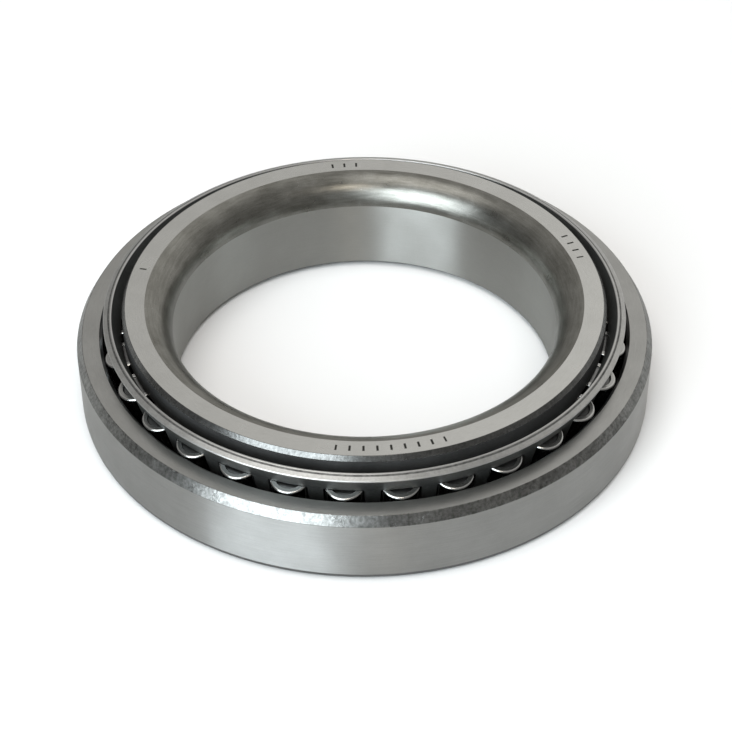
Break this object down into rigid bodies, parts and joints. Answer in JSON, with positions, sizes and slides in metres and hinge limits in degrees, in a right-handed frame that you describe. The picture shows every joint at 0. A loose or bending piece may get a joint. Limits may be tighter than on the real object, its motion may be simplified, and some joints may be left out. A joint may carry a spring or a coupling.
{
  "type": "tapered roller bearing",
  "caption": "Single-row tapered roller bearing: outer ring, inner ring with a ribbed back end, pressed steel cage and tapered rollers that roll as the inner ring turns.",
  "frame": {"origin": "on the bearing axis, in the plane of the outer ring's back face, which is the bearing's bottom", "axes": "+Z along the bearing axis, from the outer ring's back face to the inner ring's back face; X and Y are free, because the bearing is round"},
  "size_m": [0.09, 0.09, 0.017],
  "materials": {
    "cup_steel": "fine ground bearing steel",
    "cone_steel": "fine ground bearing steel, unground rounded bore corner",
    "cage_steel": "pressed sheet steel, satin",
    "roller_steel": "polished bearing steel"
  },
  "bodies": {
    "cup": {"cup": "cup_steel"},
    "cone": {"cone": "cone_steel"},
    "cage": {"cage": "cage_steel"},
    "roller_01": {"roller_01": "roller_steel"},
    "roller_02": {"roller_02": "roller_steel"},
    "roller_03": {"roller_03": "roller_steel"},
    "roller_04": {"roller_04": "roller_steel"},
    "roller_05": {"roller_05": "roller_steel"},
    "roller_06": {"roller_06": "roller_steel"},
    "roller_07": {"roller_07": "roller_steel"},
    "roller_08": {"roller_08": "roller_steel"},
    "roller_09": {"roller_09": "roller_steel"},
    "roller_10": {"roller_10": "roller_steel"},
    "roller_11": {"roller_11": "roller_steel"},
    "roller_12": {"roller_12": "roller_steel"},
    "roller_13": {"roller_13": "roller_steel"},
    "roller_14": {"roller_14": "roller_steel"},
    "roller_15": {"roller_15": "roller_steel"},
    "roller_16": {"roller_16": "roller_steel"},
    "roller_17": {"roller_17": "roller_steel"},
    "roller_18": {"roller_18": "roller_steel"},
    "roller_19": {"roller_19": "roller_steel"},
    "roller_20": {"roller_20": "roller_steel"},
    "roller_21": {"roller_21": "roller_steel"},
    "roller_22": {"roller_22": "roller_steel"},
    "roller_23": {"roller_23": "roller_steel"},
    "roller_24": {"roller_24": "roller_steel"},
    "roller_25": {"roller_25": "roller_steel"},
    "roller_26": {"roller_26": "roller_steel"},
    "roller_27": {"roller_27": "roller_steel"},
    "roller_28": {"roller_28": "roller_steel"},
    "roller_29": {"roller_29": "roller_steel"},
    "roller_30": {"roller_30": "roller_steel"}
  },
  "joints": [
    {"name": "cone_spin", "type": "hinge", "parent": "cup", "child": "cone", "pos_m": [0, 0, 0.012], "axis": [0, 0, 1], "continuous": true},
    {"name": "cage_spin", "type": "hinge", "parent": "cup", "child": "cage", "pos_m": [0, 0, 0.012], "axis": [0, 0, 1], "continuous": true},
    {"name": "roller_01_spin", "type": "hinge", "parent": "cage", "child": "roller_01", "pos_m": [0.03809, 0.001, 0.0126], "axis": [0.2246, 0.0059, 0.9744], "continuous": true},
    {"name": "roller_02_spin", "type": "hinge", "parent": "cage", "child": "roller_02", "pos_m": [0.03705, 0.00889, 0.0126], "axis": [0.2185, 0.0525, 0.9744], "continuous": true},
    {"name": "roller_03_spin", "type": "hinge", "parent": "cage", "child": "roller_03", "pos_m": [0.03439, 0.0164, 0.0126], "axis": [0.2028, 0.0967, 0.9744], "continuous": true},
    {"name": "roller_04_spin", "type": "hinge", "parent": "cage", "child": "roller_04", "pos_m": [0.03023, 0.02319, 0.0126], "axis": [0.1783, 0.1368, 0.9744], "continuous": true},
    {"name": "roller_05_spin", "type": "hinge", "parent": "cage", "child": "roller_05", "pos_m": [0.02474, 0.02897, 0.0126], "axis": [0.1459, 0.1709, 0.9744], "continuous": true},
    {"name": "roller_06_spin", "type": "hinge", "parent": "cage", "child": "roller_06", "pos_m": [0.01818, 0.03348, 0.0126], "axis": [0.1072, 0.1975, 0.9744], "continuous": true},
    {"name": "roller_07_spin", "type": "hinge", "parent": "cage", "child": "roller_07", "pos_m": [0.01082, 0.03653, 0.0126], "axis": [0.0638, 0.2154, 0.9744], "continuous": true},
    {"name": "roller_08_spin", "type": "hinge", "parent": "cage", "child": "roller_08", "pos_m": [0.00299, 0.03798, 0.0126], "axis": [0.0176, 0.224, 0.9744], "continuous": true},
    {"name": "roller_09_spin", "type": "hinge", "parent": "cage", "child": "roller_09", "pos_m": [-0.00497, 0.03777, 0.0126], "axis": [-0.0293, 0.2228, 0.9744], "continuous": true},
    {"name": "roller_10_spin", "type": "hinge", "parent": "cage", "child": "roller_10", "pos_m": [-0.01272, 0.03591, 0.0126], "axis": [-0.075, 0.2118, 0.9744], "continuous": true},
    {"name": "roller_11_spin", "type": "hinge", "parent": "cage", "child": "roller_11", "pos_m": [-0.01991, 0.03249, 0.0126], "axis": [-0.1174, 0.1916, 0.9744], "continuous": true},
    {"name": "roller_12_spin", "type": "hinge", "parent": "cage", "child": "roller_12", "pos_m": [-0.02623, 0.02764, 0.0126], "axis": [-0.1547, 0.163, 0.9744], "continuous": true},
    {"name": "roller_13_spin", "type": "hinge", "parent": "cage", "child": "roller_13", "pos_m": [-0.0314, 0.02158, 0.0126], "axis": [-0.1852, 0.1273, 0.9744], "continuous": true},
    {"name": "roller_14_spin", "type": "hinge", "parent": "cage", "child": "roller_14", "pos_m": [-0.0352, 0.01458, 0.0126], "axis": [-0.2076, 0.086, 0.9744], "continuous": true},
    {"name": "roller_15_spin", "type": "hinge", "parent": "cage", "child": "roller_15", "pos_m": [-0.03746, 0.00694, 0.0126], "axis": [-0.2209, 0.0409, 0.9744], "continuous": true},
    {"name": "roller_16_spin", "type": "hinge", "parent": "cage", "child": "roller_16", "pos_m": [-0.03809, -0.001, 0.0126], "axis": [-0.2246, -0.0059, 0.9744], "continuous": true},
    {"name": "roller_17_spin", "type": "hinge", "parent": "cage", "child": "roller_17", "pos_m": [-0.03705, -0.00889, 0.0126], "axis": [-0.2185, -0.0525, 0.9744], "continuous": true},
    {"name": "roller_18_spin", "type": "hinge", "parent": "cage", "child": "roller_18", "pos_m": [-0.03439, -0.0164, 0.0126], "axis": [-0.2028, -0.0967, 0.9744], "continuous": true},
    {"name": "roller_19_spin", "type": "hinge", "parent": "cage", "child": "roller_19", "pos_m": [-0.03023, -0.02319, 0.0126], "axis": [-0.1783, -0.1368, 0.9744], "continuous": true},
    {"name": "roller_20_spin", "type": "hinge", "parent": "cage", "child": "roller_20", "pos_m": [-0.02474, -0.02897, 0.0126], "axis": [-0.1459, -0.1709, 0.9744], "continuous": true},
    {"name": "roller_21_spin", "type": "hinge", "parent": "cage", "child": "roller_21", "pos_m": [-0.01818, -0.03348, 0.0126], "axis": [-0.1072, -0.1975, 0.9744], "continuous": true},
    {"name": "roller_22_spin", "type": "hinge", "parent": "cage", "child": "roller_22", "pos_m": [-0.01082, -0.03653, 0.0126], "axis": [-0.0638, -0.2154, 0.9744], "continuous": true},
    {"name": "roller_23_spin", "type": "hinge", "parent": "cage", "child": "roller_23", "pos_m": [-0.00299, -0.03798, 0.0126], "axis": [-0.0176, -0.224, 0.9744], "continuous": true},
    {"name": "roller_24_spin", "type": "hinge", "parent": "cage", "child": "roller_24", "pos_m": [0.00497, -0.03777, 0.0126], "axis": [0.0293, -0.2228, 0.9744], "continuous": true},
    {"name": "roller_25_spin", "type": "hinge", "parent": "cage", "child": "roller_25", "pos_m": [0.01272, -0.03591, 0.0126], "axis": [0.075, -0.2118, 0.9744], "continuous": true},
    {"name": "roller_26_spin", "type": "hinge", "parent": "cage", "child": "roller_26", "pos_m": [0.01991, -0.03249, 0.0126], "axis": [0.1174, -0.1916, 0.9744], "continuous": true},
    {"name": "roller_27_spin", "type": "hinge", "parent": "cage", "child": "roller_27", "pos_m": [0.02623, -0.02764, 0.0126], "axis": [0.1547, -0.163, 0.9744], "continuous": true},
    {"name": "roller_28_spin", "type": "hinge", "parent": "cage", "child": "roller_28", "pos_m": [0.0314, -0.02158, 0.0126], "axis": [0.1852, -0.1273, 0.9744], "continuous": true},
    {"name": "roller_29_spin", "type": "hinge", "parent": "cage", "child": "roller_29", "pos_m": [0.0352, -0.01458, 0.0126], "axis": [0.2076, -0.086, 0.9744], "continuous": true},
    {"name": "roller_30_spin", "type": "hinge", "parent": "cage", "child": "roller_30", "pos_m": [0.03746, -0.00694, 0.0126], "axis": [0.2209, -0.0409, 0.9744], "continuous": true}
  ],
  "couplings": [
    {"joint": "cage_spin", "follows": "cone_spin", "ratio": 0.46158},
    {"joint": "roller_01_spin", "follows": "cone_spin", "ratio": -6.3038},
    {"joint": "roller_02_spin", "follows": "cone_spin", "ratio": -6.3038},
    {"joint": "roller_03_spin", "follows": "cone_spin", "ratio": -6.3038},
    {"joint": "roller_04_spin", "follows": "cone_spin", "ratio": -6.3038},
    {"joint": "roller_05_spin", "follows": "cone_spin", "ratio": -6.3038},
    {"joint": "roller_06_spin", "follows": "cone_spin", "ratio": -6.3038},
    {"joint": "roller_07_spin", "follows": "cone_spin", "ratio": -6.3038},
    {"joint": "roller_08_spin", "follows": "cone_spin", "ratio": -6.3038},
    {"joint": "roller_09_spin", "follows": "cone_spin", "ratio": -6.3038},
    {"joint": "roller_10_spin", "follows": "cone_spin", "ratio": -6.3038},
    {"joint": "roller_11_spin", "follows": "cone_spin", "ratio": -6.3038},
    {"joint": "roller_12_spin", "follows": "cone_spin", "ratio": -6.3038},
    {"joint": "roller_13_spin", "follows": "cone_spin", "ratio": -6.3038},
    {"joint": "roller_14_spin", "follows": "cone_spin", "ratio": -6.3038},
    {"joint": "roller_15_spin", "follows": "cone_spin", "ratio": -6.3038},
    {"joint": "roller_16_spin", "follows": "cone_spin", "ratio": -6.3038},
    {"joint": "roller_17_spin", "follows": "cone_spin", "ratio": -6.3038},
    {"joint": "roller_18_spin", "follows": "cone_spin", "ratio": -6.3038},
    {"joint": "roller_19_spin", "follows": "cone_spin", "ratio": -6.3038},
    {"joint": "roller_20_spin", "follows": "cone_spin", "ratio": -6.3038},
    {"joint": "roller_21_spin", "follows": "cone_spin", "ratio": -6.3038},
    {"joint": "roller_22_spin", "follows": "cone_spin", "ratio": -6.3038},
    {"joint": "roller_23_spin", "follows": "cone_spin", "ratio": -6.3038},
    {"joint": "roller_24_spin", "follows": "cone_spin", "ratio": -6.3038},
    {"joint": "roller_25_spin", "follows": "cone_spin", "ratio": -6.3038},
    {"joint": "roller_26_spin", "follows": "cone_spin", "ratio": -6.3038},
    {"joint": "roller_27_spin", "follows": "cone_spin", "ratio": -6.3038},
    {"joint": "roller_28_spin", "follows": "cone_spin", "ratio": -6.3038},
    {"joint": "roller_29_spin", "follows": "cone_spin", "ratio": -6.3038},
    {"joint": "roller_30_spin", "follows": "cone_spin", "ratio": -6.3038}
  ]
}
